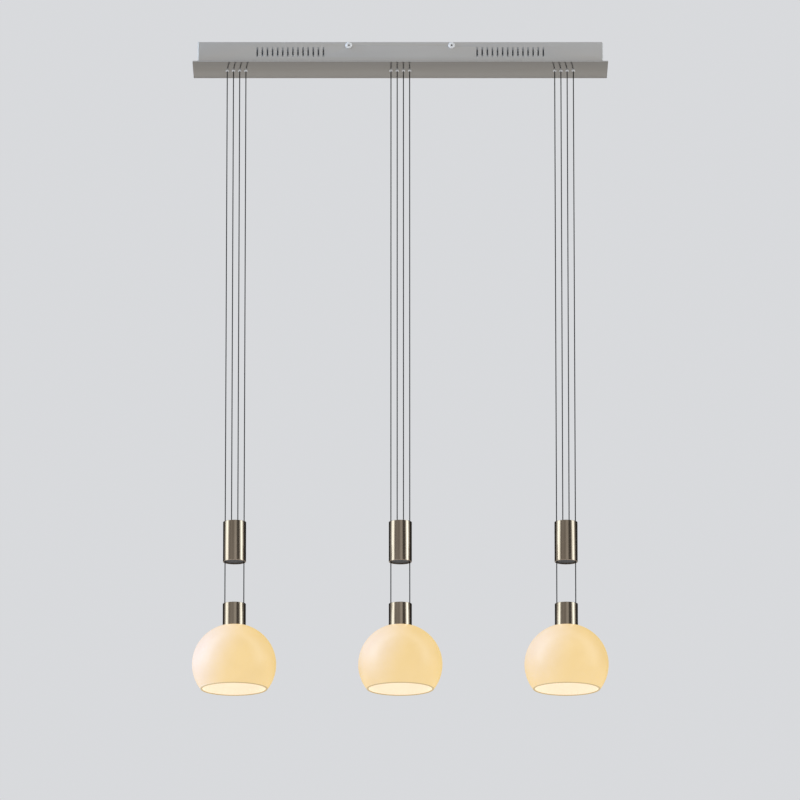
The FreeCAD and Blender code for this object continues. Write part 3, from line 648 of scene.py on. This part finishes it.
opalOutside = opalFinish("opalGlassOutside", {
    "body": (0.13, 0.20, 0.33), "bodyPale": (0.145, 0.215, 0.35),
    "glow": (0.79, 0.51, 0.085), "glowPale": (0.82, 0.535, 0.095),
    "glowStrength": 1.0, "roughness": (0.32, 0.4),
})
opalInside = opalFinish("opalGlassInside", {
    "body": (0.33, 0.35, 0.36), "bodyPale": (0.35, 0.37, 0.38),
    "glow": (0.71, 0.54, 0.37), "glowPale": (0.73, 0.56, 0.39),
    "glowStrength": 1.0, "roughness": (0.32, 0.4),
})
opalLip = opalFinish("opalGlassLip", {
    "body": (0.30, 0.26, 0.18), "bodyPale": (0.33, 0.29, 0.2),
    "glow": (0.34, 0.24, 0.09), "glowPale": (0.37, 0.26, 0.10),
    "glowStrength": 1.0, "roughness": (0.3, 0.38),
})
frostedBulb = opalFinish("frostedBulbGlass", {
    "body": (0.8, 0.78, 0.7), "bodyPale": (0.85, 0.83, 0.76),
    "glow": (1.0, 0.86, 0.6), "glowPale": (1.0, 0.88, 0.64),
    "glowStrength": 3.0, "roughness": (0.4, 0.5),
})

# glass shade: two ellipses, cut flat at the seat and at the mouth, with a rolled lip
shade = {
    "radius": 0.08, "halfHeight": 0.078, "wall": 0.003, "neck": 0.0280, "hole": 0.01615,
    "seat": -1.14, "mouthRadius": 0.064,
    "outerSteps": 40, "innerSteps": 36, "lipSteps": 9, "sides": 128,
}


def outerRise(radius):
    # height of the outer ellipse at a distance from the axis
    return shade["halfHeight"] * math.sqrt(1 - (radius / shade["radius"]) ** 2)


def angleOf(rise, halfHeight):
    return math.degrees(math.asin(rise / halfHeight))


seatRise = outerRise(shade["neck"])
mouthDrop = outerRise(shade["mouthRadius"])
shadeCentre = (0, shade["seat"] - seatRise)
centreZ = shadeCentre[1]
innerRadius = shade["radius"] - shade["wall"]
innerHalf = shade["halfHeight"] - shade["wall"]
outerArc = arcPoints(
    shadeCentre, (shade["radius"], shade["halfHeight"]),
    (angleOf(seatRise, shade["halfHeight"]), -angleOf(mouthDrop, shade["halfHeight"])),
    shade["outerSteps"],
)
innerArc = arcPoints(
    shadeCentre, (innerRadius, innerHalf),
    (-angleOf(mouthDrop, innerHalf), angleOf(seatRise - shade["wall"], innerHalf)),
    shade["innerSteps"],
)
lipMiddle = (outerArc[-1][0] + innerArc[0][0]) / 2
lipHalf = (outerArc[-1][0] - innerArc[0][0]) / 2
lipArc = arcPoints(
    (lipMiddle, centreZ - mouthDrop), (lipHalf, shade["wall"] / 2), (0, -180), shade["lipSteps"],
)[1:-1]
shadePiece = turnProfile("shadePattern", [
    (shade["hole"], shade["seat"]), *outerArc, *lipArc, *innerArc,
    (shade["hole"], shade["seat"] - shade["wall"]), (shade["hole"], shade["seat"]),
], shade["sides"])
smoothEdges(shadePiece)
for material in (opalOutside, opalInside, opalLip):
    shadePiece.data.materials.append(material)
for face in shadePiece.data.polygons:
    # the inner wall looks towards the shade's middle, and the lip lies below the mouth's edge
    outward = (face.center.x * face.normal.x + face.center.y * face.normal.y
               + (face.center.z - centreZ) * face.normal.z)
    face.material_index = 0 if outward > 0 else 1
    if face.center.z < centreZ - mouthDrop:
        face.material_index = 2

# bulb capsule with a rounded tip
bulb = {
    "base": 0.0056, "radius": 0.007, "top": -1.1355, "length": 0.048,
    "baseHeight": 0.009, "shoulder": 0.001, "tipSteps": 10, "sides": 48,
}
bulbBase = bulb["top"] - bulb["baseHeight"]
bulbPiece = turnProfile("bulbPattern", [
    (0, bulb["top"]), (bulb["base"], bulb["top"]), (bulb["base"], bulbBase),
    (bulb["radius"], bulbBase - bulb["shoulder"]),
    *roundCorner(
        0, bulb["top"] - bulb["length"] + bulb["radius"], bulb["radius"],
        (0, -90), bulb["tipSteps"],
    ),
], bulb["sides"])
smoothEdges(bulbPiece)

# shade ring: a threaded tube and a flange with a rounded rim
shadeRing = {
    "inner": 0.01395, "tube": 0.01555, "flange": 0.024, "flangeTop": -1.143,
    "flangeBottom": -1.145, "tubeTop": -1.128, "rounding": 0.0006, "rimSteps": 4, "sides": 96,
}
ringPiece = turnProfile("ringPattern", [
    (shadeRing["inner"], shadeRing["flangeBottom"]),
    *roundCorner(
        shadeRing["flange"] - shadeRing["rounding"],
        shadeRing["flangeBottom"] + shadeRing["rounding"],
        shadeRing["rounding"], (-90, 0), shadeRing["rimSteps"],
    ),
    (shadeRing["flange"], shadeRing["flangeTop"]),
    (shadeRing["tube"], shadeRing["flangeTop"]),
    (shadeRing["tube"], shadeRing["tubeTop"]),
    (shadeRing["inner"], shadeRing["tubeTop"]),
    (shadeRing["inner"], shadeRing["flangeBottom"]),
], shadeRing["sides"])
smoothEdges(ringPiece)

# each pattern: piece name, body, node, slot and material of its three copies
patterns = (
    (sleevePiece, "weightSleeve", "counterweight", "weight_sleeve",
     "polished_nickel", turnedNickel),
    (capPiece, "holderCap", "lamp_head", "holder_cap", "polished_nickel", turnedNickel),
    (shadePiece, "glassShade", "lamp_head", "glass_shade", "opal_glass", None),
    (bulbPiece, "bulb_capsule", "lamp_head", "bulb", "bulb_glass", frostedBulb),
    (ringPiece, "shadeRing", "lamp_head", "shade_ring", "ring_nickel", turnedNickel),
)
for lampName, lampX in lampPlaces.items():
    for pattern, pieceName, body, node, slotName, material in patterns:
        copy = copyTo(pattern, f"{pieceName}_{lampName}", (lampX, 0, 0))
        place(copy, f"{body}_{lampName}", f"{node}_{lampName}", material)
for pattern, *_ in patterns:
    bpy.data.objects.remove(pattern)
print("lamp heads and counterweights assembled")

# the nodes whose shape stays get their finish
nodeFinishes = {
    "ceiling_bracket": zincSteel, "plate_studs": zincSteel, "plate_nuts": zincSteel,
    "led_drivers": greyMoulding, "terminal_block": whiteMoulding,
    "pulley_frames": blackMoulding, "pulley_axles": zincSteel,
    "contact_springs": rolledBronze, "rope_loops": ropeMaterial,
    "mains_leads": leadSheath, "output_leads": leadSheath,
}
for lampName in lampPlaces:
    nodeFinishes.update({
        f"weight_core_{lampName}": darkIronAndSocketShade, f"weight_guides_{lampName}": blackMoulding,
        f"weight_rope_clamps_{lampName}": turnedBrass, f"clamp_block_{lampName}": blackMoulding,
        f"lamp_rope_clamps_{lampName}": turnedBrass, f"lamp_holder_{lampName}": whiteCeramic,
        f"pulley_{lampName}_a": turnedBrass, f"pulley_{lampName}_b": turnedBrass,
    })
for nodeName, material in nodeFinishes.items():
    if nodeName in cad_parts:
        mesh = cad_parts[nodeName].data
        mesh.materials.clear()
        mesh.materials.append(material)
print("frame nodes dressed")

# pale floor, far enough down for a camera that looks up
floor = {
    "z": -13.0, "size": 520, "speckleStretch": (0.4, 0.4, 0.4), "roughness": 0.8,
    "darker": (0.79, 0.745, 0.685), "lighter": (0.83, 0.785, 0.725),
}
bpy.ops.object.select_all(action="DESELECT")
bpy.ops.mesh.primitive_plane_add(size=floor["size"], location=(0, 0, floor["z"]))
floorPiece = bpy.context.object
floorPiece.name = "studioFloor"
floorMaterial, nodes, links, shader = startMaterial("paleFloor")
speckle = stretchedNoise(nodes, links, floor["speckleStretch"], noiseDetail["grain"])
floorTint = rampBetween(nodes, links, speckle, (floor["darker"], floor["lighter"]))
links.new(floorTint, shader.inputs["Base Color"])
shader.inputs["Roughness"].default_value = floor["roughness"]
floorPiece.data.materials.append(floorMaterial)


# soft lights that neither the camera nor the metal sees
def areaLight(name, settings):
    data = bpy.data.lights.new(name, "AREA")
    data.size = settings["size"]
    data.energy = settings["power"]
    data.color = settings["tint"]
    light = bpy.data.objects.new(name, data)
    bpy.context.scene.collection.objects.link(light)
    light.location = settings["centre"]
    x, y, z = (t - c for t, c in zip(settings["target"], settings["centre"]))
    light.rotation_euler = (math.atan2(math.hypot(x, y), -z), 0, math.atan2(y, x) - math.pi / 2)
    light.visible_camera = False
    light.visible_glossy = False


areaLight("keyLeft", {
    "centre": (-14.0, 0.8, 4.4), "target": (0, 0, -1.0), "size": 8.0, "power": 4500,
    "tint": (0.49, 0.69, 1.0),
})
areaLight("fillRight", {
    "centre": (3.4, -2.6, -0.4), "target": (0, 0, -0.7), "size": 2.4, "power": 8,
    "tint": (1.0, 0.97, 0.92),
})

# studio sky: one tone for the camera, one for soft light, and upright cards for mirrored rays
sky = {
    "camera": (0.69, 0.70, 0.72), "soft": (0.68, 0.685, 0.70), "mirrorStrength": 3.6,
    "coolFade": (0.2, 0.07, 0.0),   # what a bright card loses in red, green and blue
    "coolLevel": 0.5,
    "cards": (  # bearing from the front in degrees, and brightness
        (-180, 0.01), (-120, 0.01), (-104, 0.2), (-95, 0.5), (-86, 0.85), (-78, 1.0),
        (-71, 0.8), (-64, 0.36), (-56, 0.12), (-48, 0.06), (-38, 0.12), (-24, 0.1),
        (-9, 0.085), (0, 0.14), (10, 0.16), (20, 0.15), (26, 0.03), (40, 0.02), (50, 0.05),
        (60, 0.25), (68, 0.8), (76, 1.0), (84, 0.75), (92, 0.3), (102, 0.07), (114, 0.01),
        (180, 0.01),
    ),
}
world = bpy.data.worlds.new("paleStudio")
bpy.context.scene.world = world
world.use_nodes = True
skyNodes, skyLinks = world.node_tree.nodes, world.node_tree.links
skyNodes.clear()
softSky = skyNodes.new("ShaderNodeBackground")
softSky.inputs["Color"].default_value = (*sky["soft"], 1)
seenSky = skyNodes.new("ShaderNodeBackground")
seenSky.inputs["Color"].default_value = (*sky["camera"], 1)
mirrorSky = skyNodes.new("ShaderNodeBackground")
mirrorSky.inputs["Strength"].default_value = sky["mirrorStrength"]

direction = skyNodes.new("ShaderNodeTexCoord")
directionParts = skyNodes.new("ShaderNodeSeparateXYZ")
skyLinks.new(direction.outputs["Generated"], directionParts.inputs["Vector"])
towardsFront = addMath(skyNodes, skyLinks, "MULTIPLY", directionParts.outputs["Y"], -1)
bearing = addMath(skyNodes, skyLinks, "ARCTAN2", directionParts.outputs["X"], towardsFront)
turnShare = skyNodes.new("ShaderNodeMapRange")
turnShare.inputs["From Min"].default_value = -math.pi
turnShare.inputs["From Max"].default_value = math.pi
skyLinks.new(bearing, turnShare.inputs["Value"])
cardRamp = skyNodes.new("ShaderNodeValToRGB")
skyLinks.new(turnShare.outputs["Result"], cardRamp.inputs["Fac"])
stops = cardRamp.color_ramp.elements
while len(stops) < len(sky["cards"]):
    stops.new(0.5)
for stop, (bearingDeg, level) in zip(stops, sky["cards"]):
    stop.position = (bearingDeg + 180) / 360
    coolness = min(1, level / sky["coolLevel"])
    stop.color = (*(level * (1 - fade * coolness) for fade in sky["coolFade"]), 1)
skyLinks.new(cardRamp.outputs["Color"], mirrorSky.inputs["Color"])


def mixSky(choice, otherwise, chosen):
    mixer = skyNodes.new("ShaderNodeMixShader")
    for socket, source in zip(mixer.inputs, (choice, otherwise.outputs[0], chosen.outputs[0])):
        skyLinks.new(source, socket)
    return mixer


raySort = skyNodes.new("ShaderNodeLightPath")
unseenSky = mixSky(raySort.outputs["Is Glossy Ray"], softSky, mirrorSky)
wholeSky = mixSky(raySort.outputs["Is Camera Ray"], unseenSky, seenSky)
skyOutput = skyNodes.new("ShaderNodeOutputWorld")
skyLinks.new(wholeSky.outputs[0], skyOutput.inputs["Surface"])
print("studio lit")
